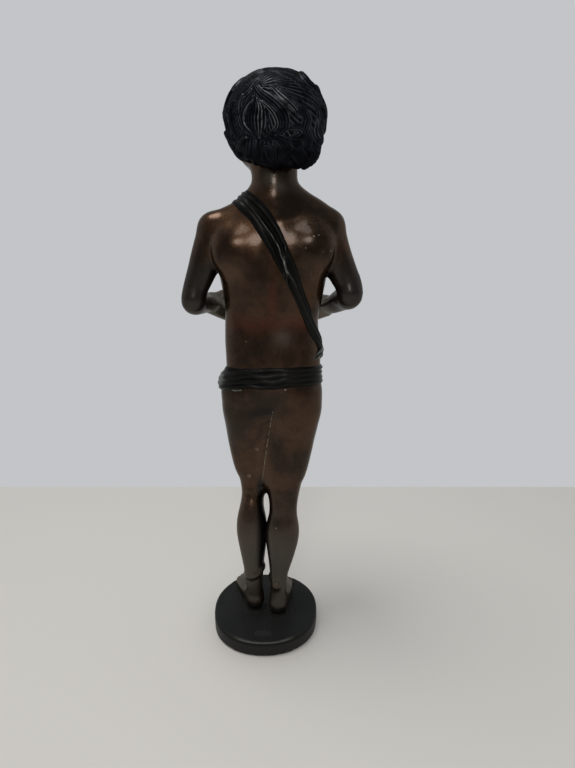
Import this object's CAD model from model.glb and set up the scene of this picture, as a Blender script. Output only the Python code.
import math

import bmesh
import bpy
import numpy as np
from mathutils import Matrix, Vector


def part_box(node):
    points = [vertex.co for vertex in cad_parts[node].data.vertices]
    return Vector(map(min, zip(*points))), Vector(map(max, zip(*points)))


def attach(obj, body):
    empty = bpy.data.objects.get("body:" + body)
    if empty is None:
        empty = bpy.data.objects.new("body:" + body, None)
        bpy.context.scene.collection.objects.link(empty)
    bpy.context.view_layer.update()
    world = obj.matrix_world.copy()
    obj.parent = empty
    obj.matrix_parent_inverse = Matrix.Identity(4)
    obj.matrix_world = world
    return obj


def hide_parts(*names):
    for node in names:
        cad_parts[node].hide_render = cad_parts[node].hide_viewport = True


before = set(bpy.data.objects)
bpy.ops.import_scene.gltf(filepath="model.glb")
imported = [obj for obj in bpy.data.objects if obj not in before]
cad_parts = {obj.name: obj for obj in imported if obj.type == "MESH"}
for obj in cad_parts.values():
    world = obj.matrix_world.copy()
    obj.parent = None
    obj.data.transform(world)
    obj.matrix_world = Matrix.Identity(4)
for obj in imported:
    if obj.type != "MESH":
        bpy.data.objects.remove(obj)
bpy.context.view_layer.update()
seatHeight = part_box("figure")[0][2]      # the soles, in metres
unitSize = 0.0010008                     # the figure is drawn about 485 units tall, then sized
print("frame loaded")


# camera
cameraDials = {
    "place": (-0.0218, 0.4888, 0.3962),
    "tiltDown": 17.0,
    "lens": 27.05, "sensor": 36.0,
    "pictureWidth": 575,
    "pictureHeight": 768,
}


def makeCamera():
    data = bpy.data.cameras.new("camera")
    data.lens = cameraDials["lens"]
    data.sensor_width = cameraDials["sensor"]
    data.clip_start = 0.01
    camera = bpy.data.objects.new("camera", data)
    camera.location = cameraDials["place"]
    camera.rotation_euler = (math.radians(90 - cameraDials["tiltDown"]), 0, math.pi)
    bpy.context.scene.collection.objects.link(camera)
    bpy.context.scene.camera = camera


makeCamera()


# curves and the head's own frame
headDials = {"centre": (-12.0, -15.0, 446.0), "turn": 20.0, "nod": 9.0, "lean": -8.0}


def smoothCurve(rows, spacing, closed=False):
    rows = np.array(rows, dtype=float)
    count = len(rows)
    samples = []
    for i in range(count if closed else count - 1):
        if closed:
            a, b, c, d = (rows[(i + k) % count] for k in (-1, 0, 1, 2))
        else:
            a, b, c, d = (rows[min(max(i + k, 0), count - 1)] for k in (-1, 0, 1, 2))
        steps = max(1, int(math.ceil(np.linalg.norm((c - b)[:3]) / spacing)))
        for t in np.arange(steps) / steps:
            samples.append(0.5 * ((2 * b) + (c - a) * t + (2 * a - 5 * b + 4 * c - d) * t ** 2
                                  + (3 * b - a - 3 * c + d) * t ** 3))
    if not closed:
        samples.append(rows[-1])
    return np.array(samples)


def headFrame():
    turn = Matrix.Rotation(math.radians(headDials["turn"]), 3, "Z")
    nod = Matrix.Rotation(math.radians(headDials["nod"]), 3, "X")
    lean = Matrix.Rotation(math.radians(headDials["lean"]), 3, "Y")
    return np.array(turn @ lean @ nod)


headAxes = headFrame()


def headPoint(x, y, z):
    return np.array(headDials["centre"]) + headAxes @ np.array((x, y, z), dtype=float)


# rounded masses: rows of balls that melt into each other
def ballRow(rows, blend, axes=None, stretch=(1, 1, 1), carve=False):
    rows = smoothCurve(rows, 4.0) if len(rows) > 1 else np.array(rows, dtype=float)
    axes = np.eye(3) if axes is None else axes
    return {"balls": rows, "blend": blend, "axes": axes,
            "stretch": np.array(stretch, dtype=float), "carve": carve}


def ball(place, size):
    return tuple(place) + (size,)


def egg(centre, radii, blend, axes=None, carve=False):
    radii = np.array(radii, dtype=float)
    size = float(radii.min())
    return ballRow((ball(centre, size),), blend, axes, radii / size, carve)


def headRow(rows, blend, carve=False):
    return ballRow([ball(headPoint(*row[:3]), row[3]) for row in rows], blend, carve=carve)


def joined(first, second, blend):
    share = np.clip(0.5 + 0.5 * (first - second) / blend, 0, 1)
    return first * (1 - share) + second * share - blend * share * (1 - share)


def massDistance(mass, points):
    balls = mass["balls"]
    stretch = mass["stretch"]
    reach = balls[:, 3].max() * stretch.max() + 14
    low = balls[:, :3].min(axis=0) - reach
    high = balls[:, :3].max(axis=0) + reach
    near = np.all((points > low) & (points < high), axis=1)
    result = np.full(len(points), 60.0)
    if near.any():
        local = (points[near] @ mass["axes"]) / stretch
        centres = (balls[:, :3] @ mass["axes"]) / stretch
        if len(balls) == 1:
            best = np.sqrt(((local - centres[0]) ** 2).sum(axis=1)) - balls[0, 3]
        else:
            best = np.full(len(local), 60.0)
        for start, end, thick, thin in zip(centres, centres[1:], balls[:, 3], balls[1:, 3]):
            span = end - start
            offset = local - start
            share = np.clip(offset @ span / (span @ span), 0, 1)
            gap = offset - share[:, None] * span
            gap = np.sqrt(np.einsum("ij,ij->i", gap, gap))
            best = np.minimum(best, gap - thick - share * (thin - thick))
        result[near] = best
    return result


def unionOf(masses, points, start):
    result = start
    for mass in masses:
        distance = massDistance(mass, points)
        if mass["carve"]:
            result = -joined(-result, distance, mass["blend"])
        else:
            result = joined(result, distance, mass["blend"])
    return result


def gradientOf(distance, points):
    step = 0.06
    here = distance(points)
    slope = np.empty_like(points)
    for axis in range(3):
        moved = points.copy()
        moved[:, axis] += step
        slope[:, axis] = (distance(moved) - here) / step
    return here, slope


def unitRows(rows):
    return rows / np.maximum(np.linalg.norm(rows, axis=1, keepdims=True), 1e-9)


def settle(distance, points, rounds):
    points = points.copy()
    active = np.arange(len(points))
    for _ in range(rounds):
        here, slope = gradientOf(distance, points[active])
        size = np.maximum((slope ** 2).sum(axis=1), 0.05)
        move = (here / size)[:, None] * slope
        length = np.linalg.norm(move, axis=1, keepdims=True)
        points[active] -= move * np.minimum(1, 1.5 / np.maximum(length, 1e-9))
        active = active[np.abs(here) > 0.02]
        if len(active) == 0:
            break
    return points


def fade(value, start, end):
    share = np.clip((value - start) / (end - start), 0, 1)
    return share * share * (3 - 2 * share)


def falling(value, full, none):
    return fade(-value, -none, -full)


def band(value, low, full, stillFull, high):
    # 1 in the middle, fading to 0 at both ends
    return fade(value, low, full) * falling(value, stillFull, high)


def wander(seed):
    value = math.sin(seed * 12.9898 + 4.1) * 43758.5453
    return 2 * (value - math.floor(value)) - 1


# the child's body
bodyDials = {
    "foldShadow": ((272, 411.5), (262, 413), (249, 414.5)),      # pixels of the picture
    # rubbed paler: pixel of the picture, radius, share
    "rubbed": (((283, 337), 8, 0.8), ((268, 178), 5, 0.7), ((281, 186), 5, 0.6)),
    "voxel": 1.6, "quickVoxel": 2.6, "rounds": 5,
    "trunk": (       # height, centre x, centre y, half width, half depth
        (214, -8.2, -10, 38.5, 22), (224, -8.2, -10, 40.6, 25),
        (236, -8.6, -10, 41.2, 26), (251, -9.2, -10.5, 41.8, 26),
        (270, -8.4, -12.5, 41.6, 26.5), (287, -7.9, -14.5, 40.8, 27.5),
        (300, -9.1, -14, 41.7, 28), (312, -9.5, -13, 43.3, 28),
        (327, -9.5, -12, 45.6, 28), (346, -9.5, -11, 46, 26.5),
        (361, -9.5, -11, 42, 23.5), (374, -10, -11, 34, 19.5),
        (386, -10.5, -11.5, 22, 16)),
    "trunkLow": 202, "trunkHigh": 396, "trunkSquareness": 2.35,
    "leftLeg": (
        (14.5, -12, 222, 21.8), (14.5, -14, 212, 21.6), (15.6, -15, 186, 19.7),
        (14.5, -17, 152, 15.6), (12, -18, 136, 12.8), (11.6, -18.5, 118, 11),
        (12.8, -15, 104, 10.9), (13.1, -11, 90, 13), (12.6, -9.5, 79, 13.7),
        (12.3, -8, 68, 12.4), (11.8, -5.5, 48, 10.3), (11.4, -4, 36, 9.2),
        (10.8, -2.2, 22, 8), (10.4, -1, 8, 7.7)),
    "rightLeg": (
        (-28.8, -11, 222, 20.8), (-28.6, -10.5, 212, 21), (-26.6, -9.5, 186, 21.3),
        (-21.5, -8.5, 152, 19.6), (-18.2, -8, 135, 17), (-17.8, -6, 104, 12.4),
        (-16.8, -3, 84, 15), (-15.4, -0.5, 66, 12.5), (-13.4, 2.6, 40, 8.8),
        (-13, 4.8, 22, 7.6), (-12.4, 6.6, 8, 7.4)),
    "thighWeb": (
        (-6.8, -6.5, 208, 15), (-4.7, -8, 186, 10.8), (-1.6, -10, 152, 8.5),
        (-1.2, -12, 134, 6.5), (-1.4, -15, 123, 3.2)),
    "leftArm": (
        (38.8, -12, 364, 14.4), (45.6, -12, 345, 13.7), (51.2, -11, 330, 12.3),
        (57, -8.5, 315, 10.7), (58.7, -7.5, 304.5, 10.7), (57, -22, 301, 10.4),
        (53, -36, 298.5, 8.8), (49.5, -46, 296.5, 7.4)),
    "rightArm": (
        (-54.8, -12, 366, 14.8), (-61.2, -12, 347, 13.6), (-68.8, -11, 329, 12.5),
        (-73.6, -9, 319, 11.6), (-75, -7.5, 309.5, 11.1), (-71, -22, 304.5, 10.2),
        (-63.5, -36, 297.5, 8.4), (-57.5, -46, 294, 6.9)),
    "neck": ((-10.5, -11, 384, 20), (-11, -11.5, 397, 18.9), (-11.5, -13, 416, 18.4)),
    "leftYoke": ((-8, -10, 385.5, 15), (20, -11.5, 371, 14.6), (38.8, -12, 364, 14.2)),
    "rightYoke": ((-13, -10, 388, 15), (-38, -11, 377, 15), (-54.8, -12, 366, 14.6)),
    "leftFoot": (
        ((10.4, -1, 7.4, 7.6), (14, -18, 10, 8), (17, -33, 6.6, 6.9)),
        ((11, -2, 7.4, 7.4), (19.5, -18, 7.5, 7.3), (26, -31, 5.2, 5.3)),
        ((11.4, -5, 14, 8), (17, -20, 10, 7.6), (22, -33, 6.2, 6.2))),
    "leftToes": ((18.3, -44.6, 4.2), (29.4, -38.2, 3)),
    "rightFoot": (
        ((-12.2, 7, 7.2, 7.4), (-12.6, -12, 10, 8), (-12.2, -29.5, 6.6, 6.9)),
        ((-12.8, 6, 7.2, 7.2), (-18.6, -12, 7.5, 7.2), (-22, -26, 5.2, 5.2)),
        ((-12.8, 3, 14, 7.8), (-15.4, -14, 10, 7.6), (-17, -29, 6.2, 6.2))),
    "rightToes": ((-12.4, -41.2, 4.2), (-24.2, -34.6, 3)),
    "leftHand": {"wrist": (49.5, -46, 296.5), "index": (35, -69, 297.5),
                 "little": (32, -59, 281.5), "tips": (-7, -77), "thumb": 1.0},
    "rightHand": {"wrist": (-57.5, -46, 294), "index": (-43.5, -70, 297),
                  "little": (-40.5, -60, 281), "tips": (-3, -85.7), "thumb": -1.0},
}


def handMasses(hand):
    wrist = np.array(hand["wrist"])
    index = np.array(hand["index"])
    little = np.array(hand["little"])
    masses = []
    for k in range(4):      # four fingers, then the thumb
        share = k / 3
        knuckle = index + (little - index) * share
        start = wrist + np.array((0, -3, (0.5 - share) * 7))
        masses.append(ballRow((ball(start, 6.4), ball((start + knuckle) / 2, 6.2),
                               ball(knuckle, 5.0)), 4.0))
        tip = np.array((hand["tips"][0], hand["tips"][1] + 11 * share, knuckle[2] - 1.0))
        tip = tip + np.array((5.0 * hand["thumb"] * abs(share - 0.35), 0, 0))
        middle = knuckle + (tip - knuckle) * 0.42 + np.array((0, -4.6, -0.8))
        masses.append(ballRow((ball(knuckle, 4.5), ball(middle, 4.0), ball(tip, 3.3)), 0.9))
    root = wrist + (index - wrist) * 0.28 + np.array((-1.5 * hand["thumb"], 0, 4.0))
    knee = wrist + (index - wrist) * 0.62 + np.array((-3.0 * hand["thumb"], 0, 6.6))
    end = index + np.array((-9.0 * hand["thumb"], 1.0, 5.4))
    masses.append(ballRow((ball(root, 5.0), ball(knee, 4.2), ball(end, 3.5)), 1.5))
    return masses


def footMasses(rows, toes):
    masses = [ballRow(row, 4.0) for row in rows]
    inner = np.array(rows[0][-1])
    outer = np.array(rows[1][-1])
    first = np.array(toes[0])
    last = np.array(toes[1])
    for k in range(5):
        share = k / 4
        root = inner + (outer - inner) * share
        end = first + (last - first) * share
        reach = 1.6 * math.sin(math.pi * min(share * 1.15, 1.0))
        radius = end[2]
        tip = (end[0], end[1] - reach, radius * 0.95, radius)
        start = (root[0], root[1], radius * 1.15, radius * 1.02)
        masses.append(ballRow((start, tip), 0.8))
        # a nail set in the top of the toe
        masses.append(egg((tip[0], tip[1] - 0.3 * radius, tip[2] + 0.86 * radius),
                          (0.52 * radius, 0.62 * radius, 0.28 * radius), 0.25))
    return masses


faceDials = {
    # blend, carved or added, then x, y, z and size of each ball in the head's own frame
    "middle": (
        (7, False, ((0, -25, -34.5, 8),)), (6, False, ((0, -30.5, -25.5, 8),)),
        (3, False, ((0, -35, -3, 2.2), (0, -38.2, -9, 2.5), (0, -41, -15.5, 3.3)))),
    "sides": (
        (8, False, ((12, -22, -17, 10.8),)), (1.6, False, ((3.3, -38.4, -16.6, 2.3),)),
        (4, True, ((12.4, -38.6, -5.6, 6.6),)), (0.8, False, ((12, -28.6, -6, 5.6),)),
        # upper lid over a lowered eye, rim of the lower lid, brow and nostril
        (0.3, False, ((12, -28.9, -4.2, 6),)),
        (0.7, False, ((7.6, -32.6, -8.2, 0.8), (12, -33.4, -10.2, 0.9), (16.4, -31, -8.4, 0.8))),
        (4, False, ((6.5, -35.2, 1.2, 2), (12.5, -34.2, 3, 2.2), (19, -29.4, 1, 2))),
        (0.7, True, ((2.3, -40.2, -19, 1),))),
    "mouth": (
        (1.2, False, ((-7, -35.4, -24.6, 1), (-3.4, -38, -23.6, 1.7), (0, -38.6, -24.2, 1.6),
                      (3.4, -38, -23.6, 1.7), (7, -35.4, -24.6, 1))),
        (1, False, ((-5, -36.6, -26.8, 1.2), (0, -38, -27.6, 2), (5, -36.6, -26.8, 1.2))),
        (0.6, True, ((-6.6, -36.6, -25.4, 0.5), (0, -40.4, -25.7, 0.6),
                     (6.6, -36.6, -25.4, 0.5)))),
}


def faceMasses():
    masses = [egg(headPoint(0, 2, 2), (33, 37.5, 32.5), 4, headAxes),
              egg(headPoint(0, -11.5, -15), (22, 24, 24.5), 7, headAxes)]
    for part, sides in (("middle", (1,)), ("sides", (-1, 1)), ("mouth", (1,))):
        for side in sides:
            for blend, carve, rows in faceDials[part]:
                masses.append(headRow([(side * row[0],) + row[1:] for row in rows], blend, carve))
    return masses


def trunkMasses():
    dials = bodyDials
    masses = [
        ballRow(dials["neck"], 7), ballRow(dials["leftYoke"], 9),
        ballRow(dials["rightYoke"], 9),
        egg((23, 3, 348), (17, 12, 19), 9), egg((-43, 3, 350), (17, 12, 19), 9),
        egg((-8, -22, 268), (30, 23, 30), 12),
        egg((12, -24, 338), (19, 14, 15), 9), egg((-31, -24, 338), (19, 14, 15), 9),
        ballRow(((-9.5, 24.5, 250, 9), (-9.5, 24.5, 290, 9.5), (-10, 24.5, 330, 9.5),
                 (-10.5, 22, 372, 8)), 7, carve=True),
        egg((12, -6, 210), (20, 18.5, 33), 10), egg((-29.5, -4.6, 211), (20, 19.5, 32), 10),
        ballRow(((-3, -25, 384, 2.2), (12, -26, 381, 2.4), (28, -24, 375, 2.2)), 4),
        ballRow(((-18, -25, 385, 2.2), (-32, -26, 384, 2.4), (-46, -24, 379, 2.2)), 4),
        egg((-8.5, -46, 262), (2.6, 2.6, 3.4), 2.6, carve=True),
        ballRow(dials["thighWeb"], 5),
        ballRow(dials["leftArm"], 3.4), ballRow(dials["rightArm"], 3.4),
    ]
    return masses + handMasses(dials["leftHand"]) + handMasses(dials["rightHand"])


def legMasses(rows, calf, knee, ankles, foot, toes):
    masses = [ballRow(rows, 6.0), egg(*calf), egg(*knee)]
    masses += [egg(place, (size, size, size * 1.15), 3.0) for place, size in ankles]
    return masses + footMasses(foot, toes)


ankleBand = ballRow(((20.5, -9, 33, 1.6), (16.5, 1.5, 35, 2.2), (10, 4.6, 37.5, 2.4),
                     (4.2, 0.5, 41.5, 2.6), (1.8, -5, 44, 1.8)), 1.6)


bodyMasses = trunkMasses() + faceMasses()
leftLimb = legMasses(bodyDials["leftLeg"], ((12.6, -6.5, 86), (11.0, 9.0, 27), 9.0),
                     ((11.4, -24.5, 114), (6.2, 6.0, 8.0), 6.0),
                     (((3.4, -3.0, 43.5), 3.2), ((10.5, 3.6, 39.5), 2.4)),
                     bodyDials["leftFoot"], bodyDials["leftToes"]) + [ankleBand]
rightLimb = legMasses(bodyDials["rightLeg"], ((-16.8, 1.0, 84), (12.0, 9.5, 27), 9.0),
                      ((-18, -16.5, 114), (6.6, 6.0, 8.0), 6.0),
                      (((-6.0, 2.0, 36), 3.0), ((-10.8, 10.6, 31), 3.6)),
                      bodyDials["rightFoot"], bodyDials["rightToes"])
trunkCurve = smoothCurve(bodyDials["trunk"], 1.0)


def trunkDistance(points):
    height = np.clip(points[:, 2], trunkCurve[0, 0], trunkCurve[-1, 0])
    cx, cy, width, depth = (np.interp(height, trunkCurve[:, 0], trunkCurve[:, k])
                            for k in range(1, 5))
    power = bodyDials["trunkSquareness"]
    across = np.abs(points[:, 0] - cx) / width
    along = np.abs(points[:, 1] - cy) / depth
    ring = (across ** power + along ** power) ** (1 / power)
    side = (ring - 1) * np.minimum(width, depth)
    ends = np.maximum(bodyDials["trunkLow"] - points[:, 2], points[:, 2] - bodyDials["trunkHigh"])
    return -joined(-side, -ends, 12.0)


def bodyDistance(points):
    far = np.full(len(points), 60.0)
    body = unionOf(bodyMasses, points, trunkDistance(points))
    left = unionOf(leftLimb, points, far)
    right = unionOf(rightLimb, points, far)
    body = joined(body, joined(left, right, 1.4), 9.0)
    return np.maximum(body, -points[:, 2])


def seenDirection(x, y):
    # the way the camera looks through one pixel of the picture
    tilt = math.radians(cameraDials["tiltDown"])
    focal = cameraDials["lens"] / cameraDials["sensor"] * cameraDials["pictureHeight"]
    ahead = np.array((0, -math.cos(tilt), -math.sin(tilt)))
    up = np.array((0, -math.sin(tilt), math.cos(tilt)))
    right = np.array((-1.0, 0, 0))
    ray = (ahead * focal + right * (x - cameraDials["pictureWidth"] / 2)
           - up * (y - cameraDials["pictureHeight"] / 2))
    return ray / np.linalg.norm(ray)


def seenPoints(pixels, distance):
    # where those lines of sight meet a surface, in drawing units
    rays = np.array([seenDirection(*pixel) for pixel in pixels])
    eye = np.array(cameraDials["place"]) - np.array((0, 0, seatHeight))
    points = np.repeat(eye[None] / unitSize, len(rays), axis=0) + rays * 320
    for _ in range(90):
        points += rays * np.clip(distance(points), -3, 5)[:, None] * 0.8
    return points


farthest = 62.0      # drawing units from an axis to past any surface


def castOut(distance, start, rays, nearest, rounds):
    # where rays that start inside a solid leave it
    near = np.full(len(rays), nearest)
    far = np.full(len(rays), farthest)
    for _ in range(rounds):
        middle = (near + far) / 2
        inside = distance(start + rays * middle[:, None]) < 0
        near = np.where(inside, middle, near)
        far = np.where(inside, far, middle)
    return start + rays * near[:, None]


# mesh helpers
def meshPoints(obj):
    points = np.empty(len(obj.data.vertices) * 3, dtype=np.float32)
    obj.data.vertices.foreach_get("co", points)
    return points.reshape(-1, 3).astype(float)


def bindMesh(obj, points):
    obj.data.vertices.foreach_set("co", np.ascontiguousarray(points, dtype=np.float32).ravel())
    obj.data.update()


def pointNumbers(obj, **numbers):
    # one number for each point, for the materials to read
    for name, values in numbers.items():
        layer = obj.data.attributes.new(name, "FLOAT", "POINT")
        layer.data.foreach_set("value", np.ascontiguousarray(values, dtype=np.float32))


def finishPiece(obj, **numbers):
    # notes its numbers, then turns drawing units into metres
    pointNumbers(obj, **numbers)
    points = meshPoints(obj) * unitSize
    points[:, 2] += seatHeight
    bindMesh(obj, points)
    obj.data.shade_smooth()
    print(obj.name, "made,", len(obj.data.polygons), "faces")
    return obj


def newPiece(name, shape):
    mesh = bpy.data.meshes.new(name)
    shape.to_mesh(mesh)
    shape.free()
    obj = bpy.data.objects.new(name, mesh)
    bpy.context.scene.collection.objects.link(obj)
    return obj


def bake(obj):
    graph = bpy.context.evaluated_depsgraph_get()
    mesh = bpy.data.meshes.new_from_object(obj.evaluated_get(graph))
    old = obj.data
    obj.modifiers.clear()
    obj.data = mesh
    bpy.data.meshes.remove(old)


def meltedBalls(name, masses, voxel, withTrunk=False):
    # balls on the masses, melted into one closed skin
    shape = bmesh.new()
    for mass in masses:
        if mass["carve"]:
            continue
        balls = mass["balls"]
        turn = Matrix(mass["axes"].tolist()).to_4x4()
        step = max(1, int(0.4 * balls[:, 3].mean() / 4.0))
        for k in sorted(set(range(0, len(balls), step)) | {len(balls) - 1}):
            place = Matrix.Translation(Vector(balls[k, :3].tolist()))
            size = Matrix.Diagonal(Vector((mass["stretch"] * balls[k, 3]).tolist() + [1.0]))
            bmesh.ops.create_icosphere(shape, subdivisions=2, radius=1.0,
                                       matrix=place @ turn @ size)
    if withTrunk:
        for row in trunkCurve[::6]:
            place = Matrix.Translation(Vector((row[1], row[2], row[0])))
            size = Matrix.Diagonal(Vector((row[3], row[4], 12.0, 1.0)))
            bmesh.ops.create_icosphere(shape, subdivisions=3, radius=1.0, matrix=place @ size)
    obj = newPiece(name, shape)
    skin = obj.modifiers.new("skin", "REMESH")
    skin.mode = "VOXEL"
    skin.voxel_size = voxel
    skin.adaptivity = 0.0
    bake(obj)
    return obj


def keepLargest(obj):
    shape = bmesh.new()
    shape.from_mesh(obj.data)
    seen = set()
    islands = []
    for first in shape.verts:
        if first in seen:
            continue
        island = [first]
        seen.add(first)
        for vert in island:      # the list grows while it is walked
            others = {edge.other_vert(vert) for edge in vert.link_edges} - seen
            island += others
            seen |= others
        islands.append(island)
    islands.sort(key=len)
    loose = [vert for island in islands[:-1] for vert in island]
    bmesh.ops.delete(shape, geom=loose, context="VERTS")
    shape.to_mesh(obj.data)
    shape.free()


def refine(obj, wanted):
    # splits the faces whose middles the test picks
    shape = bmesh.new()
    shape.from_mesh(obj.data)
    shape.faces.ensure_lookup_table()
    middles = np.array([face.calc_center_median()[:] for face in shape.faces])
    edges = {}
    for k in np.nonzero(wanted(middles))[0]:
        for edge in shape.faces[k].edges:
            edges[edge] = True
    bmesh.ops.subdivide_edges(shape, edges=list(edges), cuts=1, use_grid_fill=True)
    shape.to_mesh(obj.data)
    shape.free()


def fineZones(points):
    # face, hands and feet
    local = (points - np.array(headDials["centre"])) @ headAxes
    face = ((local[:, 1] < -20) & (np.abs(local[:, 0]) < 24)
            & (local[:, 2] > -40) & (local[:, 2] < 10))
    hands = (points[:, 1] < -50) & (points[:, 2] > 270) & (points[:, 2] < 312)
    feet = (points[:, 2] < 22) & (points[:, 1] < -22)
    return face | hands | feet


def surfaceNotes(obj, distance):
    # how deep each point sits in a hollow, and how proud it stands on a ridge
    points = meshPoints(obj)
    here, slope = gradientOf(distance, points)
    normals = unitRows(slope)
    hollow = np.zeros(len(points))
    for reach in (3.0, 9.0):
        clearance = distance(points + normals * reach) / reach
        hollow += 0.5 * np.clip(1 - clearance, 0, 1)
    # calmer on the neck, the feet and the thighs
    height = points[:, 2]
    hollow *= 1 - 0.8 * fade(height, 376, 392)
    hollow *= 1 - 0.7 * falling(height, 16, 34)
    hollow *= 1 - 0.92 * band(height, 172, 182, 222, 236)
    proud = np.clip(1 + distance(points - normals * 7.0) / 7.0, 0, 1)
    return points, normals, hollow, proud


def makeBody():
    voxel = bodyDials["voxel"]
    obj = meltedBalls("body", bodyMasses + leftLimb + rightLimb, voxel, withTrunk=True)
    keepLargest(obj)
    bindMesh(obj, settle(bodyDistance, meshPoints(obj), bodyDials["rounds"]))
    refine(obj, fineZones)
    bindMesh(obj, settle(bodyDistance, meshPoints(obj), 3))
    points, normals, hollow, proud = surfaceNotes(obj, bodyDistance)
    points[:, 2] = np.maximum(points[:, 2], 0.0)
    bindMesh(obj, points)
    x, y, z = points.T
    # grey patina is stronger on the arms, hands and lower legs
    cool = np.maximum(fade(np.abs(x + 9.5), 44, 56) * falling(z, 320, 352),
                      falling(z, 40, 130) * 0.85)
    cool = np.maximum(cool, falling(y, -58, -48) * band(z, 260, 275, 315, 330))
    pale = np.maximum(falling(y, -40, -22) * band(z, 262, 275, 312, 330),
                      0.42 * falling(z, 60, 130))
    for pixel, size, share in bodyDials["rubbed"]:
        place = seenPoints([pixel], bodyDistance)[0]
        gap = ((points - place) ** 2).sum(axis=1)
        pale = np.maximum(pale, share * np.exp(-gap / size ** 2))
    # the inner side of the left shin keeps its black casting skin
    black = band(x, -2, 1, 5, 9) * band(z, 40, 52, 128, 150)
    # the soft shadow of the fold under the left hip
    fold = seenPoints(bodyDials["foldShadow"], bodyDistance)
    level = np.interp(x, fold[:, 0], fold[:, 2])
    shadow = (np.exp(-((z - level) / 4.6) ** 2) * fade(y, -12, 0)
              * band(x, fold[0, 0] - 4, fold[0, 0] + 1, fold[2, 0] - 5, fold[2, 0] + 4))
    black = np.maximum(black, 0.9 * shadow)
    # redder metal low on the back and along the spine
    red = np.exp(-((z - 288) / 7) ** 2) * falling(np.abs(x + 8), 26, 40)
    spine = np.exp(-((x + 9 + 0.05 * (z - 300)) / 4) ** 2) * band(z, 276, 290, 310, 332)
    red = np.maximum(red, spine) * fade(y, -12, 0)
    return finishPiece(obj, hollow=hollow, proud=proud, cool=cool, black=black, pale=pale, red=red)


body = makeBody()


# the hair
hairDials = {
    "cuts": 124, "quickCuts": 60,
    "centre": (1.6, 3.5, 0.6), "radii": (37.6, 42, 35.2),
    "nape": ((-2, 17, -22), (29, 18, 17)),
    "lift": 3.8, "groove": 0.95, "under": 1.4, "whorl": (258, 88), "rubbed": (268, 108),
    # locks seen in the picture: half width, strands, pixels along the lock
    "seenLocks": (
        (5, 5, ((262, 74), (250, 77), (240, 84), (233, 92))),
        (5, 5, ((272, 72), (285, 76), (297, 83), (306, 93), (309, 104))),
        (5, 5, ((285, 74), (295, 79), (304, 86), (311, 95), (316, 103))),
        (4.2, 4, ((258, 80), (253, 85), (247, 92), (242, 97), (237, 104))),
        (4.2, 4, ((250, 80), (243, 85), (236, 92), (233, 100), (232, 112))),
        (4.4, 4, ((300, 108), (306, 118), (304, 128), (308, 138), (306, 148))),
        (4.4, 4, ((312, 104), (317, 114), (315, 126), (319, 136), (314, 146))),
        (4, 3, ((229, 108), (226.5, 118), (227, 129), (231, 139), (236, 147))),
        (4, 3, ((236, 104), (233, 113), (234, 124), (238, 134), (244, 141))),
        (3.4, 3, ((244, 97), (241, 105), (241, 115), (244, 126), (250, 134))),
        (4, 3, ((282, 92), (291, 97), (299, 103), (304, 112), (305, 122))),
        (3.9, 3, ((272, 88), (279, 95), (287, 102), (294, 109), (298, 116))),
        (3.2, 3, ((272, 136), (280, 139), (286, 142), (288, 148))),
        (3.2, 3, ((247, 138), (242, 143), (240, 150), (244, 156), (250, 155))),
        (3.2, 3, ((238, 146), (242, 153), (248, 160), (253, 166))),
        (3.6, 3, ((230, 135), (233, 145), (239, 153), (245, 159))),
        (3.4, 3, ((235, 140), (238, 149), (243, 156), (249, 162))),
        (3, 3, ((288, 128), (296, 127), (301, 131), (297, 136), (289, 137))),
        (3, 3, ((289, 140), (297, 140), (301, 145), (296, 150))),
        (3.8, 3, ((308, 146), (313, 152), (310, 160), (303, 166))),
        (3, 3, ((256, 160), (259, 166), (266, 168.5))),
        (3, 3, ((272, 163), (279, 168), (287, 170))),
        (3.2, 3, ((276, 142), (281, 150), (279, 158), (273, 163))),
        (3.2, 3, ((292, 150), (286, 157), (285, 164), (291, 168), (298, 166),
                          (301, 158), (297, 152))),
        (3.2, 3, ((257, 142), (255.5, 150), (258, 158), (265, 161.5), (272, 160),
                          (275, 153), (271, 147), (265, 146), (263, 151))),
        (4, 3, ((256.5, 88), (262, 95), (270, 101), (277, 107), (283, 115),
                          (284.5, 124), (280, 131), (272, 135.5), (264, 139))),
        (2.4, 2, ((264, 103), (271, 109), (276, 116), (278, 124), (274, 131),
                          (266, 136))),
        (2.6, 2, ((254, 99), (247, 106), (243.5, 115), (244.5, 125), (250, 132),
                          (257, 138))),
    ),
    # the large lock in the middle, pointed at both ends
    "leafLock": (10.6, 8, ((258, 101), (259, 109), (258, 118), (258.5, 128), (260, 137))),
    "crownLocks": (0, 1, 2, 3, 4, 10, 11),      # these lie flatter
    # other locks: height, how many round the head, width
    "rows": ((64, 9, 11.5), (40, 13, 9.5), (16, 15, 9), (-7, 15, 8.5), (-28, 14, 8),
             (-43, 12, 7)),
}
hairCentre = headPoint(*hairDials["centre"])
hairRadii = np.array(hairDials["radii"])


def bearingPoint(azimuth, elevation, grow=1.0):
    across = math.radians(azimuth)
    up = math.radians(elevation)
    ray = np.array((math.sin(across) * math.cos(up), math.cos(across) * math.cos(up),
                    math.sin(up)))
    local = ray @ headAxes
    return hairCentre + grow * ray / math.sqrt(((local / hairRadii) ** 2).sum())


sideGroove = [ball(bearingPoint(azimuth, height, 1.09), 5.0)
              for azimuth, height in ((-56, -10), (-74, -15), (-92, -18), (-110, -18))]
hairMasses = (
    egg(hairCentre, hairRadii, 1.2, headAxes),
    egg(headPoint(*hairDials["nape"][0]), hairDials["nape"][1], 8.0, headAxes),
    ballRow(sideGroove, 2.5, carve=True),
)


def hairCap(points):
    return unionOf(hairMasses[1:], points, massDistance(hairMasses[0], points))


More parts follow.
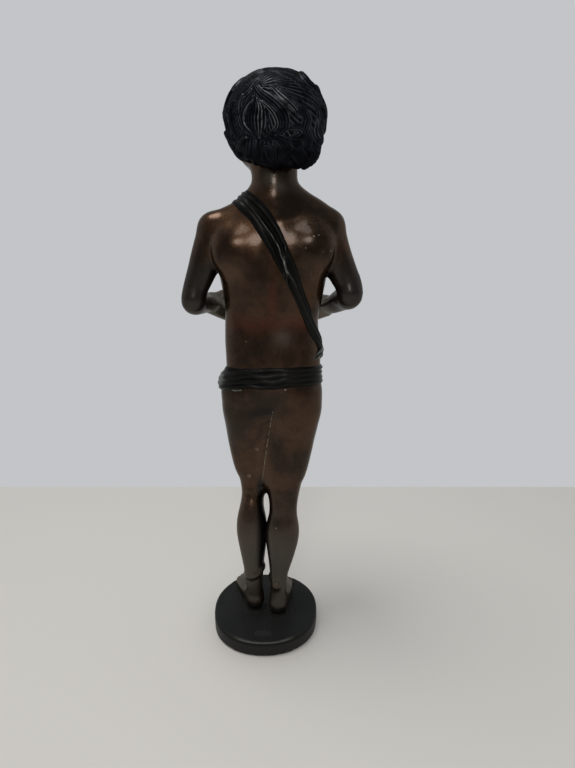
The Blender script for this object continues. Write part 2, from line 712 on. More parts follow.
def hairDistance(points):
    local = (points - np.array(headDials["centre"])) @ headAxes
    cap = hairCap(points)
    x, y, z = local.T
    edge = (-25.0 - 0.5 * y - 0.42 * np.maximum(x, 0)) - z
    window = (np.sqrt((x / 25.5) ** 2 + ((y + 42) / 30.0) ** 2 + ((z + 24) / 43.0) ** 2) - 1) * 26
    cap = -joined(-cap, -edge, 3.5)
    return -joined(-cap, window, 3.5)


def hairLocks():
    locks = []
    for row, (height, count, size) in enumerate(hairDials["rows"]):
        for k in range(count):
            seed = row * 31 + k
            azimuth = 360 * (k + 0.5 * (row % 2)) / count + 6 * wander(seed)
            turned = (azimuth + 180) % 360 - 180
            if height < 50 and -62 < turned < 66:
                continue
            curl = 1 if (k + row) % 2 else -1
            widen = 1 / max(math.cos(math.radians(height)), 0.35)
            reach = (16 + 4 * wander(seed + 7)) * widen
            places = ((azimuth, height + 14), (azimuth + 0.55 * curl * reach, height + 5),
                      (azimuth + 0.65 * curl * reach, height - 6),
                      (azimuth + 0.05 * curl * reach, height - 13),
                      (azimuth - 0.35 * curl * reach, height - 6))
            half = size / 2 + 0.4 * wander(seed + 3)
            points = [ball(bearingPoint(*place), half) for place in places]
            crown = height > 50
            locks.append((smoothCurve(points, 1.2), 7 if crown else 4, False,
                          0.42 if crown else 0.95))
    seen = hairDials["seenLocks"] + (hairDials["leafLock"],)
    for order, (half, strands, pixels) in enumerate(seen):
        rows = np.column_stack((seenPoints(pixels, hairCap), np.full(len(pixels), half)))
        crown = order in hairDials["crownLocks"]
        locks.append((smoothCurve(rows, 1.0), strands, order == len(seen) - 1,
                      0.5 if crown else 0.85))
    return locks


def lockRelief(points, normals):
    # rounded, tapered and overlapping locks, each combed into strands
    rays = unitRows(points - hairCentre)
    # fine strands that run out from the whorl
    whorl = unitRows(seenPoints([hairDials["whorl"]], hairCap) - hairCentre)[0]
    side = np.cross(whorl, (0, 0, 1))
    side /= np.linalg.norm(side)
    turn = np.arctan2(rays @ np.cross(whorl, side), rays @ side)
    away = np.arccos(np.clip(rays @ whorl, -1, 1))
    comb = np.abs(np.cos(34 * turn + 2.0 * np.sin(4 * away + 2 * turn) + 2.5 * away))
    inner = np.abs(np.cos(12 * turn + 2.0 * np.sin(3 * away + turn) + 2.5 * away))
    outer = fade(away, 0.24, 0.42)
    comb = comb * outer + inner * (1 - outer) * fade(away, 0.03, 0.12)
    height = hairDials["under"] * (0.80 + 0.35 * comb)
    shade = 0.35 + 0.48 * comb ** 1.5
    for order, (path, strands, leaf, rise) in enumerate(hairLocks()):
        reach = path[:, 3].max() * 1.25 + 1
        near = np.all((points > path[:, :3].min(axis=0) - reach)
                      & (points < path[:, :3].max(axis=0) + reach), axis=1)
        chosen = np.nonzero(near)[0]
        local = points[chosen]
        best = np.full(len(local), 1e9)
        nearest = np.zeros(len(local), dtype=int)
        for k in range(len(path)):
            gap = ((local - path[k, :3]) ** 2).sum(axis=1)
            closer = gap < best
            best[closer] = gap[closer]
            nearest[closer] = k
        run = nearest / (len(path) - 1)
        if leaf:
            width = np.sin(math.pi * np.clip(run * 0.94 + 0.03, 0, 1)) ** 0.75
        else:
            width = 0.45 + 0.75 * np.sin(math.pi * np.clip(run * 0.86 + 0.1, 0, 1))
        half = path[nearest, 3] * width
        tangents = unitRows(np.gradient(path[:, :3], axis=0))[nearest]
        sides = unitRows(np.cross(tangents, normals[chosen]))
        across = ((local - path[nearest, :3]) * sides).sum(axis=1) / half
        reachShare = np.sqrt(best) / half
        dome = np.sqrt(np.clip(1 - reachShare ** 2, 0, 1))
        strands += not leaf
        strand = np.abs(np.sin(math.pi * strands * (across + 1) / 2)) ** 0.8
        strand = strand * fade(dome, 0.1, 0.5)
        tone = 0.78 + 0.22 * np.sin(7.3 * np.floor(strands * (across + 1) / 2) + 2.9 * order)
        lift = hairDials["lift"] * (rise + 0.15 * wander(order + 50))
        value = lift * dome + hairDials["groove"] * (strand - 0.8) * fade(dome, 0.05, 0.4)
        over = value > height[chosen]
        picked = chosen[over]
        height[picked] = value[over]
        shade[picked] = ((0.35 + 0.65 * strand[over] ** 2.4 * tone[over])
                         * fade(dome[over], 0.0, 0.7))
    return height, shade


def makeHair():
    shape = bmesh.new()
    bmesh.ops.create_cube(shape, size=2.0)
    cuts = hairDials["cuts"]
    bmesh.ops.subdivide_edges(shape, edges=shape.edges[:], cuts=cuts, use_grid_fill=True)
    obj = newPiece("hair", shape)
    rays = unitRows(np.tan(meshPoints(obj) * math.pi / 4)) @ headAxes.T
    points = castOut(hairDistance, hairCentre, rays, 4.0, 16)
    here, slope = gradientOf(hairDistance, points)
    normals = unitRows(slope)
    height, shade = lockRelief(points, normals)
    outside = fade(bodyDistance(points), -4.0, 0.5)
    points = points + normals * (height * outside)[:, None]
    bindMesh(obj, points)
    low = fade(hairCentre[2] - points[:, 2], 10, 28)      # the back of the head shades its nape
    rubbed = seenPoints([hairDials["rubbed"]], hairCap)[0]
    worn = np.exp(-((points - rubbed) ** 2).sum(axis=1) / 26 ** 2)
    hollow = np.maximum(1 - fade(height, 0.2, 2.6), 0.75 * low)
    return finishPiece(obj, shade=shade, hollow=hollow,
                       worn=(0.36 + 0.64 * worn) * (1 - 0.6 * low))


hair = makeHair()


# the sash and the cloth round the hips, each a closed band
sashDials = {
    "around": 460, "across": 48, "thickness": 2.5, "sink": 1.4, "rim": 0.7,
    # down the back: pixels of the middle line and half width in drawing units
    "seen": ((250.5, 206, 9.4), (260.5, 217, 9.8), (270.5, 233.5, 9.6), (279, 250, 8.4),
             (286.9, 266.4, 7.4), (293.3, 280.3, 6.2), (299.5, 295.6, 5.2), (306.8, 313.7, 5),
             (313.4, 331, 5.2)),
    "front": (      # x, y, z, half width: up the chest to the left shoulder
        (-50, -16, 257, 6), (-46, -32, 268, 6.4), (-34, -41, 291, 7.2), (-18, -43, 318, 7.8),
        (-2, -40, 344, 8.4), (10, -35, 366, 8.8), (18, -26, 384, 9), (20, -12, 391, 8.8)),
    # ridges: place along the sash, then place across and height of three ridges
    "ridges": (
        (0.00, -0.55, 0.4, 0.00, 0.5, 0.55, 0.4), (0.05, -0.55, 1.2, -0.02, 1.4, 0.50, 1.2),
        (0.13, -0.50, 1.7, 0.05, 1.9, 0.58, 1.4), (0.19, -0.62, 1.2, -0.15, 2.1, 0.48, 1.6),
        (0.25, -0.75, 0.6, 0.25, 1.8, 0.70, 1), (0.31, -0.70, 0.6, 0.05, 1.2, 0.80, 0.5),
        (0.40, -0.65, 0.6, 0.10, 0.8, 0.75, 0.4), (0.50, -0.60, 0.9, 0.05, 0.9, 0.60, 0.9),
        (0.60, -0.55, 1.3, 0.05, 1.3, 0.60, 1.2), (0.80, -0.55, 1.3, 0.00, 1.4, 0.55, 1.3),
        (1.00, -0.55, 0.4, 0.00, 0.5, 0.55, 0.4)),
}
hipDials = {
    "around": 480, "across": 56, "thickness": 2.4, "sink": 1.6,
    "axis": (-9, -11),
    "heights": (      # bearing from the back, centre height, half height
        (0, 241.2, 10.6), (45, 241.6, 10.6), (80, 236.8, 11.4), (110, 232.5, 11),
        (150, 229, 11), (180, 230, 11), (215, 233, 10), (250, 238, 9.4),
        (280, 240.4, 9), (315, 243, 8.8), (360, 241.2, 10.6)),
    # bearing, then place across and height of four ridges
    "ridges": (
        (0, 0.70, 1.1, 0.26, 1.3, -0.20, 1.2, -0.66, 0.7),
        (28, 0.66, 1.1, 0.22, 1.4, -0.24, 1.2, -0.68, 1.2),
        (52, 0.56, 1.2, 0.10, 1.4, -0.30, 1.3, -0.70, 1.4),
        (76, 0.20, 0.7, -0.10, 0.6, -0.40, 0.6, -0.74, 0.5),
        (100, 0.50, 0.5, 0.10, 0.6, -0.34, 0.5, -0.78, 0.4),
        (150, 0.55, 1.2, 0.05, 1.4, -0.36, 1.3, -0.76, 0.9),
        (215, 0.60, 1.2, 0.10, 1.3, -0.30, 1.2, -0.72, 0.8),
        (262, 0.66, 0.7, 0.20, 0.5, -0.30, 0.5, -0.74, 0.4),
        (300, 0.74, 0.8, 0.32, 0.5, -0.16, 0.4, -0.66, 0.4),
        (332, 0.72, 1.1, 0.28, 1, -0.18, 0.9, -0.64, 0.4),
        (360, 0.70, 1.1, 0.26, 1.3, -0.20, 1.2, -0.66, 0.7)),
}


def closedBand(name, around, across):
    # a ring of rings, with each point's place round the loop and round its section
    shape = bmesh.new()
    upright = Matrix.Translation((3, 0, 0)) @ Matrix.Rotation(math.pi / 2, 4, "X")
    ring = bmesh.ops.create_circle(shape, segments=across, radius=1.0, matrix=upright)
    edges = list({edge: True for vert in ring["verts"] for edge in vert.link_edges})
    bmesh.ops.spin(shape, geom=ring["verts"] + edges, cent=(0, 0, 0), axis=(0, 0, 1),
                   angle=2 * math.pi, steps=around, use_merge=True)
    bmesh.ops.remove_doubles(shape, verts=shape.verts[:], dist=0.0001)
    obj = newPiece(name, shape)
    points = meshPoints(obj)
    run = (np.arctan2(points[:, 1], points[:, 0]) / (2 * math.pi)) % 1.0
    roll = np.arctan2(points[:, 2], np.hypot(points[:, 0], points[:, 1]) - 3)
    return obj, run, roll


def turnOutward(obj):
    shape = bmesh.new()
    shape.from_mesh(obj.data)
    bmesh.ops.recalc_face_normals(shape, faces=shape.faces[:])
    shape.to_mesh(obj.data)
    shape.free()


def bandSection(roll, sink, heights):
    # flat under the cloth, rounded at its edges
    top = np.sqrt(np.clip(1 - np.abs(np.cos(roll)) ** 9, 0, 1))
    return np.where(roll > 0, -sink + top * (heights + sink), -sink)


def ridgeHeights(table, along, share, sway, top, width, drop):
    # rows of the table: place along the band, then place across and height of each ridge
    table = np.array(table)
    total = np.zeros(len(along))
    for k in range(1, table.shape[1], 2):
        place = np.interp(along, table[:, 0], table[:, k]) + sway(k)
        size = np.interp(along, table[:, 0], table[:, k + 1])
        total += size * (top * np.exp(-((share - place) / width) ** 2) - drop)
    return total


def makeSash():
    dials = sashDials
    obj, run, roll = closedBand("sash", dials["around"], dials["across"])
    seen = seenPoints([row[:2] for row in dials["seen"]], bodyDistance)
    seen = [ball(place, row[2]) for place, row in zip(seen, dials["seen"])]
    curve = smoothCurve([dials["front"][-1]] + seen + list(dials["front"][:-1]), 2.0, closed=True)
    path = settle(bodyDistance, curve[:, :3], 4)
    here, slope = gradientOf(bodyDistance, path)
    sides = unitRows(np.cross(np.roll(path, -1, axis=0) - np.roll(path, 1, axis=0), slope))
    laps = np.arange(len(path) + 1) / len(path)
    table = np.vstack((np.column_stack((path, curve[:, 3], sides)),
                       np.concatenate((path[0], curve[:1, 3], sides[0]))))
    x, y, z, half, sx, sy, sz = (np.interp(run, laps, table[:, k]) for k in range(7))
    share = np.cos(roll)
    side = unitRows(np.column_stack((sx, sy, sz)))
    base = np.column_stack((x, y, z)) + side * (share * half)[:, None]
    base = settle(bodyDistance, base, 3)
    here, slope = gradientOf(bodyDistance, base)
    top = np.abs((run + 0.5) % 1.0 - 0.5)       # thin where it passes over the shoulder
    heights = dials["thickness"] * (1 - 0.30 * share ** 2) * (0.45 + 0.55 * fade(top, 0.0, 0.06))
    heights += ridgeHeights(dials["ridges"], run, share,
                            lambda k: 0.08 * np.sin(2 * math.pi * (3 * run + 0.3 * k)),
                            1.75, 0.15, 0.42)
    heights += dials["rim"] * fade(top, 0.0, 0.06) * np.exp(-((np.abs(share) - 0.88) / 0.09) ** 2)
    # the pleat that crosses the band between the shoulder blades
    crossing = (run - 0.235) / 0.055
    line = np.exp(-((share - crossing) / 0.16) ** 2) * fade(1 - np.abs(crossing), 0, 0.5)
    heights += 2.2 * line
    rise = bandSection(roll, dials["sink"], heights)
    bindMesh(obj, base + unitRows(slope) * rise[:, None])
    turnOutward(obj)
    return finishPiece(obj, shade=fade(heights, 1.6, 4.6), hollow=1 - fade(heights, 0.6, 2.2))


def makeHipCloth():
    dials = hipDials
    obj, run, roll = closedBand("hipCloth", dials["around"], dials["across"])
    heightsTable = np.array(dials["heights"])
    bearing = run * 360
    centre = np.interp(bearing, heightsTable[:, 0], heightsTable[:, 1])
    half = np.interp(bearing, heightsTable[:, 0], heightsTable[:, 2])
    share = np.cos(roll)
    angle = np.radians(bearing)
    outward = np.column_stack((np.sin(angle), np.cos(angle), np.zeros(len(angle))))
    axis = np.array(dials["axis"] + (0,))
    level = np.column_stack((np.zeros((len(angle), 2)), centre + share * half))
    base = castOut(bodyDistance, axis + level, outward, 8.0, 14)
    heights = dials["thickness"] * (1 - 0.25 * share ** 2)
    heights += ridgeHeights(dials["ridges"], bearing, share,
                            lambda k: 0.05 * np.sin(angle * (4 + k) + k), 1.7, 0.13, 0.38)
    # the rounded end that bulges out at the left hip
    heights += 2.4 * np.exp(-((bearing - 84) / 13) ** 2) * np.exp(-((share + 0.1) / 0.7) ** 2)
    rise = bandSection(roll, dials["sink"], heights)
    here, slope = gradientOf(bodyDistance, base)
    lean = unitRows(unitRows(slope) * np.array((1, 1, 0.4)) + 0.3 * outward)
    bindMesh(obj, base + lean * rise[:, None])
    turnOutward(obj)
    return finishPiece(obj, shade=fade(heights, 1.6, 4.0), hollow=1 - fade(heights, 0.6, 2.2))


sash = makeSash()
hipCloth = makeHipCloth()


# the fall of cloth in front, and the rolls and knots of the drapery
fallDials = {"voxel": 1.2, "pleats": 0.66, "depth": 1.5}
fallMasses = [ballRow(((-8.5, -24, 234, 19.0), (-8.5, -27, 205, 19.5), (-8.5, -28, 188, 19.5)),
                      5.0, stretch=(1.5, 0.72, 0.72))]
knotMasses = [
    ballRow(((16, -27, 371, 1.6), (19, -22, 377, 3.4), (20, -11, 380.5, 4.4),
             (18.5, -2, 379, 3.6), (15, 4, 375, 1.2)), 2.5),
    ballRow(((-45, -20, 265, 1.6), (-48.5, -12, 262, 4), (-48.8, -5, 260.5, 4.2),
             (-44, 4, 256, 1.4)), 2),
    ballRow(((12, 12.5, 231, 1), (22, 9.5, 230.5, 2.8), (30.5, -3, 229, 3.8),
             (31.5, -20, 228, 4), (26, -33, 227, 1.4)), 2),
]


def fallDistance(points):
    return unionOf(fallMasses, points, np.full(len(points), 60.0))


def makeFrontFall():
    obj = meltedBalls("frontFall", fallMasses, fallDials["voxel"])
    points = settle(fallDistance, meshPoints(obj), 4)
    here, slope = gradientOf(fallDistance, points)
    drop = np.clip((232 - points[:, 2]) / 50, 0, 1.2)
    sweep = points[:, 0] + 8.5 + 0.10 * (points[:, 2] - 200) * np.sin(points[:, 0] * 0.09)
    wave = np.abs(np.cos(0.5 * fallDials["pleats"] * sweep)) ** 0.85
    height = fallDials["depth"] * (0.5 + drop) * (wave - 0.7)
    height += 0.7 * np.exp(-((points[:, 2] - 178) / 1.6) ** 2)
    points = points + unitRows(slope) * height[:, None]
    bindMesh(obj, points)
    return finishPiece(obj, shade=fade(wave, 0.5, 1.0), hollow=1 - fade(wave, 0.1, 0.6))


def makeKnot(name, mass, twist):
    distance = lambda points: unionOf([mass], points, np.full(len(points), 60.0))
    obj = meltedBalls(name, [mass], 0.7)
    points = settle(distance, meshPoints(obj), 4)
    here, slope = gradientOf(distance, points)
    start = mass["balls"][0, :3]
    along = unitRows((mass["balls"][-1:, :3] - start))[0]
    lengthwise = (points - start) @ along
    normals = unitRows(slope)
    spin = np.arctan2(normals[:, 2], normals[:, 0] + 0.3 * normals[:, 1])
    wave = np.abs(np.cos(1.5 * spin + twist * lengthwise)) ** 0.8
    points = points + normals * (0.8 * (wave - 0.5))[:, None]
    bindMesh(obj, points)
    return finishPiece(obj, shade=wave, hollow=1 - fade(wave, 0.0, 0.5))


frontFall = makeFrontFall()
shoulderRoll = makeKnot("shoulderRoll", knotMasses[0], 0.05)
hipKnot = makeKnot("hipKnot", knotMasses[1], 0.16)
hipRoll = makeKnot("hipRoll", knotMasses[2], 0.05)


# the plinth
plinthDials = {"rings": 74, "steps": 300, "edgeRadius": 0.0018, "footInset": 0.0008,
               "roughness": 0.00022, "squareness": 2.2}


def makePlinth():
    low, high = (Vector(corner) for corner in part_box("plinth"))
    halfWide = (high.x - low.x) / 2
    halfDeep = (high.y - low.y) / 2
    edge = plinthDials["edgeRadius"]
    shape = bmesh.new()
    profile = [(halfWide - edge) * k / plinthDials["rings"] for k in range(plinthDials["rings"])]
    outline = [(x, high.z) for x in profile]
    for k in range(7):
        angle = math.pi / 2 * (1 - k / 6)
        outline.append((halfWide - edge * (1 - math.cos(angle)),
                        high.z - edge * (1 - math.sin(angle))))
    wall = high.z - edge
    outline += [(halfWide, wall * (1 - k / 10)) for k in range(1, 10)]
    outline += [(halfWide - plinthDials["footInset"], low.z), (halfWide * 0.5, low.z), (0, low.z)]
    verts = [shape.verts.new((x, 0, z)) for x, z in outline]
    edges = [shape.edges.new(pair) for pair in zip(verts, verts[1:])]
    bmesh.ops.spin(shape, geom=verts + edges, cent=(0, 0, 0), axis=(0, 0, 1), angle=2 * math.pi,
                   steps=plinthDials["steps"], use_merge=True)
    bmesh.ops.remove_doubles(shape, verts=shape.verts[:], dist=0.00001)
    bmesh.ops.recalc_face_normals(shape, faces=shape.faces[:])
    obj = newPiece("plinthBody", shape)
    points = meshPoints(obj)
    reach = np.maximum(np.hypot(points[:, 0], points[:, 1]), 1e-9)
    power = plinthDials["squareness"]
    corner = ((np.abs(points[:, :2]) / reach[:, None]) ** power).sum(axis=1)
    points[:, :2] *= np.maximum(corner, 1e-9)[:, None] ** (-1 / power)
    points[:, 1] *= halfDeep / halfWide
    x, y, z = points.T
    turn = np.arctan2(y, x)
    top = fade(z, high.z - edge, high.z - 0.0001)
    wallShare = 1 - fade(z, high.z - edge, high.z)
    # the cast outline isn't a true oval, and its top is worked by hand
    squeeze = 1 - 0.003 * (1 + 0.5 * np.sin(3 * turn + 0.7) + 0.5 * np.sin(7 * turn))
    points[:, 0] *= squeeze
    points[:, 1] *= squeeze
    grain = (np.sin(x * 900 + 3 * np.sin(y * 310)) * np.sin(y * 760 + 2 * np.sin(x * 270))
             + 0.6 * np.sin(x * 1700 + y * 900) * np.sin(y * 1500 - x * 400))
    local = points.copy()
    local[:, 2] = seatHeight + 0.001
    feet = bodyDistance((local - np.array((0, 0, seatHeight))) / unitSize)
    nearFeet = fade(-feet, -9, -1)
    points[:, 2] += top * (plinthDials["roughness"] * grain * (0.25 + nearFeet) + 0.0009 * nearFeet)
    middle = np.exp(-((z - low.z) / 0.004) ** 2)
    points[:, 0] *= 1 - 0.002 * wallShare * middle * np.sin(turn * 9)
    bindMesh(obj, points)
    rim = (np.exp(-((z - (high.z - 0.10 * edge)) / (0.12 * edge)) ** 2)
           * fade(np.hypot(x / halfWide, y / halfDeep), 0.945, 0.965))
    pointNumbers(obj, nearFeet=nearFeet * top, rim=rim)
    obj.data.shade_smooth()
    print("plinth made")
    return obj


plinth = makePlinth()


# materials: paint["tree"] is the node tree being built
paint = {}


def newMaterial(name):
    material = bpy.data.materials.new(name)
    material.use_nodes = True
    paint["tree"] = material.node_tree
    return material, material.node_tree.nodes["Principled BSDF"]


def wire(value, socket):
    # a plain number or colour is set on the socket, anything else is linked to it
    if isinstance(value, (int, float)):
        socket.default_value = value
    elif isinstance(value, tuple):
        socket.default_value = (*value, 1.0) if socket.type == "RGBA" else value
    else:
        paint["tree"].links.new(value, socket)


def feed(node, inputs):
    for name, value in inputs:
        wire(value, node.inputs[name])


def addNode(kind, inputs=(), **settings):
    node = paint["tree"].nodes.new("ShaderNode" + kind)
    for name, value in settings.items():
        setattr(node, name, value)
    feed(node, inputs)
    return node


def noiseField(coords, scale, detail=3.0, roughness=0.55, distortion=0.0, output="Fac"):
    inputs = (("Vector", coords), ("Scale", scale), ("Detail", detail),
              ("Roughness", roughness), ("Distortion", distortion))
    return addNode("TexNoise", inputs).outputs[output]


def calc(operation, *values, clamp=False):
    return addNode("Math", enumerate(values), operation=operation, use_clamp=clamp).outputs[0]


def times(result, *others):
    for value in others:
        result = calc("MULTIPLY", result, value)
    return result


def plus(first, second, clamp=False):
    return calc("ADD", first, second, clamp=clamp)


def minus(first, second, clamp=False):
    return calc("SUBTRACT", first, second, clamp=clamp)


def spread(value, low, high):
    # stretches a value so that low becomes 0 and high becomes 1
    inputs = (("Value", value), ("From Min", low), ("From Max", high))
    return addNode("MapRange", inputs, interpolation_type="SMOOTHSTEP").outputs["Result"]


def spreadAll(result, fields):
    # narrows a mask by each field's own range
    for value, low, high in fields:
        result = times(result, spread(value, low, high))
    return result


def blendColours(share, first, second):
    node = addNode("Mix", data_type="RGBA")
    sockets = [node.inputs[0]] + [socket for socket in node.inputs if socket.type == "RGBA"]
    for socket, value in zip(sockets, (share, first, second)):
        wire(value, socket)
    return [socket for socket in node.outputs if socket.type == "RGBA"][0]


def layerColours(colour, layers):
    for share, over in layers:
        colour = blendColours(share, colour, over)
    return colour


def readNumber(name):
    return addNode("Attribute", attribute_name=name).outputs["Fac"]


def objectCoords():
    return addNode("TexCoord").outputs["Object"]


def spotMask(coords, place, radius):
    distance = addNode("VectorMath", ((0, coords), (1, place)), operation="DISTANCE")
    return minus(1.0, spread(distance.outputs["Value"], radius * 0.6, radius), True)


def addBumps(shader, *fields):
    normal = None
    for height, strength, distance in fields:
        bump = addNode("Bump", (("Strength", strength), ("Distance", distance),
                                ("Height", height)))
        if normal is not None:
            wire(normal, bump.inputs["Normal"])
        normal = bump.outputs["Normal"]
    wire(normal, shader.inputs["Normal"])


skinPaint = {
    "deep": (0.022, 0.013, 0.008), "warm": (0.070, 0.035, 0.018), "cool": (0.034, 0.031, 0.028),
    "pale": (0.155, 0.145, 0.120), "red": (0.110, 0.030, 0.018),
    "worn": (0.150, 0.088, 0.050),
    "black": (0.006, 0.006, 0.007), "speck": (0.26, 0.22, 0.17),
    # pale specks: pixel of the picture and radius in metres; the larger two are rings
    "specks": ((256.5, 449.3, 0.0020), (249.2, 476, 0.0021), (285.5, 390, 0.0011),
               (314, 236, 0.0008), (319, 235, 0.0007), (331, 251, 0.0008), (306, 248, 0.0007),
               (323, 252, 0.0006), (270.5, 190, 0.0006), (246, 341.5, 0.0006),
               (276, 528.5, 0.0009)),
    "ringFrom": 0.0015,      # specks this large have a hollow middle
    "seam": ((272.5, 412), (268.5, 438), (264.5, 462), (262.5, 480)),
}


def seenPlaces(pixels):
    # places on the body in metres
    return seenPoints(pixels, bodyDistance) * unitSize + np.array((0, 0, seatHeight))


def seamMask(coords, patches):
    # a thin broken line down the back of the thigh
    places = seenPlaces(skinPaint["seam"])
    bend, slope, start = (float(v) for v in np.polyfit(places[:, 2], places[:, 0], 2))
    x, y, z = addNode("SeparateXYZ", ((0, coords),)).outputs
    line = plus(start, times(z, plus(slope, times(z, bend))))
    mask = minus(1.0, spread(calc("ABSOLUTE", minus(x, line)), 0.0001, 0.0006))
    low, high = float(places[:, 2].min()), float(places[:, 2].max())
    mask = spreadAll(mask, ((z, low - 0.002, low + 0.002), (z, high + 0.002, high - 0.002),
                            (y, -0.020, -0.012), (patches, 0.38, 0.46)))
    return times(mask, 0.7)


def skinMaterial():
    material, shader = newMaterial("bronzeSkin")
    coords = objectCoords()
    broad = noiseField(coords, 22, 3.0, 0.5, 0.4)
    patches = noiseField(coords, 95, 4.0, 0.6, 0.6)
    grain = noiseField(coords, 620, 3.0, 0.6)
    fine = noiseField(coords, 2400, 2.0, 0.5)
    mottle = plus(times(broad, 0.65), times(patches, 0.35))
    coolShare = plus(times(readNumber("cool"), 0.8), times(spread(patches, 0.52, 0.72), 0.35), True)
    wear = times(spread(readNumber("proud"), 0.05, 0.6), spread(grain, 0.35, 0.65))
    dark = calc("MAXIMUM", spread(readNumber("hollow"), 0.30, 0.85),
                times(readNumber("black"), 0.85))
    # pale specks and the broken casting seam, with ragged edges
    ragged = noiseField(coords, 700, 2.0, 0.5, output="Color")
    shifted = addNode("VectorMath", ((0, coords), (1, (0.0008,) * 3)), operation="SUBTRACT")
    ragged = addNode("VectorMath", ((0, ragged), (1, (0.0016,) * 3), (2, shifted.outputs[0])),
                     operation="MULTIPLY_ADD").outputs[0]
    marks = seamMask(ragged, patches)
    places = seenPlaces([spot[:2] for spot in skinPaint["specks"]])
    for place, (_, _, radius) in zip(places.tolist(), skinPaint["specks"]):
        mask = spotMask(ragged, tuple(place), radius)
        if radius > skinPaint["ringFrom"]:
            mask = minus(mask, spotMask(ragged, tuple(place), radius * 0.6), True)
        marks = calc("MAXIMUM", marks, mask)
    marks = times(marks, spread(grain, 0.34, 0.56))
    colour = blendColours(spread(mottle, 0.36, 0.62), skinPaint["deep"], skinPaint["warm"])
    colour = layerColours(colour, (
        (coolShare, skinPaint["cool"]), (times(readNumber("pale"), 0.65), skinPaint["pale"]),
        (times(readNumber("red"), patches), skinPaint["red"]),
        (times(wear, 0.5), skinPaint["worn"]), (dark, skinPaint["black"]),
        (marks, skinPaint["speck"])))
    rough = 0.18
    for field, share in ((patches, 0.20), (dark, 0.22), (coolShare, 0.16), (marks, 0.3)):
        rough = plus(rough, times(field, share), True)
    metal = minus(0.85, times(marks, 0.8), True)
    feed(shader, (("Base Color", colour), ("Roughness", rough), ("Metallic", metal),
                  ("Specular Tint", (0.50, 0.46, 0.42)), ("Coat Weight", 0.28),
                  ("Coat Roughness", 0.14)))
    addBumps(shader, (patches, 0.16, 0.0012), (grain, 0.16, 0.0003), (fine, 0.10, 0.00008))
    return material


darkPaint = {
    "hairBronze": {"deep": (0.003, 0.0035, 0.005), "face": (0.019, 0.023, 0.031),
                   "ridge": (0.210, 0.222, 0.232), "ridgeShare": 0.85, "rough": 0.28,
                   "edge": 0.2},
    "clothBronze": {"deep": (0.011, 0.011, 0.010), "face": (0.052, 0.053, 0.049),
                    "ridge": (0.185, 0.190, 0.172), "ridgeShare": 0.8, "rough": 0.25,
                    "edge": 0.8},
}


def darkMaterial(name):
    dials = darkPaint[name]
    material, shader = newMaterial(name)
    coords = objectCoords()
    patches = noiseField(coords, 120, 4.0, 0.6, 0.5)
    grain = noiseField(coords, 800, 3.0, 0.6)
    shade = readNumber("shade")
    dark = spread(readNumber("hollow"), 0.3, 1.0)
    face = times(spread(patches, 0.30, 0.65), spread(shade, 0.30, 0.75))
    ridge = times(spread(shade, 0.66, 0.98), spread(patches, 0.22, 0.55))
    if name == "hairBronze":
        ridge = times(ridge, readNumber("worn"))
    colour = layerColours(dials["deep"], (
        (face, dials["face"]), (times(ridge, dials["ridgeShare"]), dials["ridge"]),
        (times(dark, 0.85), (0.004, 0.004, 0.005))))
    rough = plus(plus(dials["rough"], times(patches, 0.18)), times(dark, 0.25), True)
    feed(shader, (("Base Color", colour), ("Roughness", rough), ("Metallic", 0.8),
                  ("Specular Tint", (dials["edge"],) * 3)))
    addBumps(shader, (patches, 0.08, 0.001), (grain, 0.18, 0.0003))
    return material


def plinthMaterial():
    material, shader = newMaterial("plinthBronze")
    coords = objectCoords()
    broad = noiseField(coords, 40, 4.0, 0.6, 0.5)
    patches = noiseField(coords, 170, 4.0, 0.65, 0.4)
    grain = noiseField(coords, 900, 3.0, 0.6)
    x, y, z = addNode("SeparateXYZ", ((0, coords),)).outputs
    # a row of shallow strokes near the rim, and chips along the lower edge
    slanted = plus(x, times(y, 0.35))
    strokes = spread(calc("ABSOLUTE", calc("SINE", times(slanted, 1350))), 0.80, 0.96)
    strokes = spreadAll(strokes, ((x, -0.0070, -0.0060), (x, 0.0095, 0.0085),
                                  (y, 0.0355, 0.0362), (y, 0.0425, 0.0418),
                                  (z, 0.0130, 0.0138)))
    chips = spreadAll(spread(z, 0.0028, 0.0014), ((patches, 0.49, 0.54),))
    # the rim is rubbed at the back, and hardly elsewhere
    rubbed = spreadAll(spread(y, 0.036, 0.044), ((calc("ABSOLUTE", x), 0.030, 0.020),))
    wear = times(readNumber("rim"), plus(rubbed, 0.06))
    colour = layerColours((0.011, 0.0122, 0.0119), (
        (spread(broad, 0.25, 0.75), (0.016, 0.0172, 0.0166)),
        (times(readNumber("nearFeet"), 0.3), (0.020, 0.017, 0.014)),
        (spread(z, 0.0122, 0.0100), (0.026, 0.026, 0.025)),
        (times(strokes, 0.7), (0.060, 0.058, 0.052)),
        (times(chips, 0.6), (0.22, 0.21, 0.19)), (times(wear, 0.8), (0.12, 0.12, 0.11))))
    feed(shader, (("Base Color", colour), ("Roughness", plus(0.48, times(patches, 0.04))),
                  ("Metallic", 0.2), ("Specular IOR Level", 0.11)))
    addBumps(shader, (patches, 0.02, 0.001), (grain, 0.12, 0.0003),
             (times(strokes, -1.0), 0.5, 0.0003))
    return material


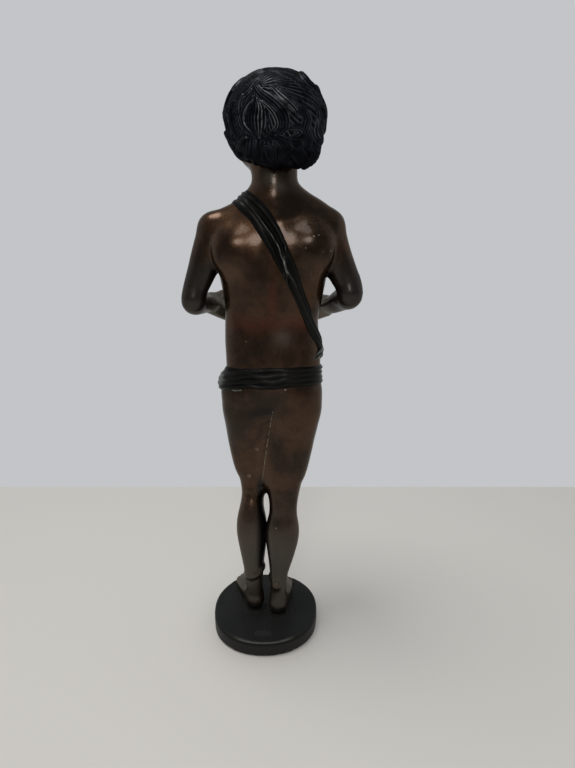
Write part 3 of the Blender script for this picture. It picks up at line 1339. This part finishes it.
skinFinish = skinMaterial()
hairFinish = darkMaterial("hairBronze")
clothFinish = darkMaterial("clothBronze")
plinthFinish = plinthMaterial()
finishes = [(body, skinFinish), (hair, hairFinish), (plinth, plinthFinish)]
finishes += [(cloth, clothFinish) for cloth in (sash, hipCloth, frontFall, shoulderRoll, hipKnot,
                                                hipRoll)]
for piece, finish in finishes:
    piece.data.materials.clear()
    piece.data.materials.append(finish)
    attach(piece, "root")
    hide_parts("plinth" if piece is plinth else "figure")
print("materials set")


# stage and light
lightDials = {
    "wall": (0.545, 0.558, 0.575), "room": (0.22, 0.21, 0.20), "ceiling": (0.32, 0.32, 0.32),
    "floor": (0.81, 0.80, 0.765),
    # place, aim, size, watts
    "lamps": (
        ((0.04, 0.85, 1.35), (-0.01, 0.0, 0.30), 0.30, 0.9),
        ((0.02, 1.05, 0.88), (0.0, 0.0, 0.38), 0.30, 1.9),
        ((0.30, -0.05, 1.50), (0.0, 0.0, 0.25), 0.60, 6.5),
    ),
    "tableEdge": -0.285,
}


def makeStage():
    shape = bmesh.new()
    bmesh.ops.create_grid(shape, x_segments=1, y_segments=1, size=1.0)
    floor = newPiece("floor", shape)
    points = meshPoints(floor)
    points[:, 0] *= 1.6
    points[:, 1] = np.where(points[:, 1] > 0, 1.9, lightDials["tableEdge"])
    bindMesh(floor, points)
    material, shader = newMaterial("tableTop")
    feed(shader, (("Base Color", lightDials["floor"]), ("Roughness", 0.5)))
    floor.data.materials.append(material)
    world = bpy.data.worlds.new("room")
    world.use_nodes = True
    paint["tree"] = world.node_tree
    x, y, z = addNode("SeparateXYZ", ((0, addNode("TexCoord").outputs["Generated"]),)).outputs
    colour = layerColours(lightDials["wall"], ((spread(y, -0.15, 0.55), lightDials["room"]),
                                               (spread(z, 0.45, 0.85), lightDials["ceiling"])))
    wire(colour, world.node_tree.nodes["Background"].inputs["Color"])
    bpy.context.scene.world = world
    for number, (place, aim, size, power) in enumerate(lightDials["lamps"]):
        data = bpy.data.lights.new(f"lamp{number}", "AREA")
        data.shape = "DISK"
        data.size = size
        data.energy = power
        data.color = (1.0, 0.97, 0.93)
        lamp = bpy.data.objects.new(f"lamp{number}", data)
        lamp.location = place
        lamp.rotation_euler = (Vector(aim) - Vector(place)).to_track_quat("-Z", "Y").to_euler()
        bpy.context.scene.collection.objects.link(lamp)
    bpy.context.scene.view_settings.view_transform = "Standard"


makeStage()
print("stage and light set")
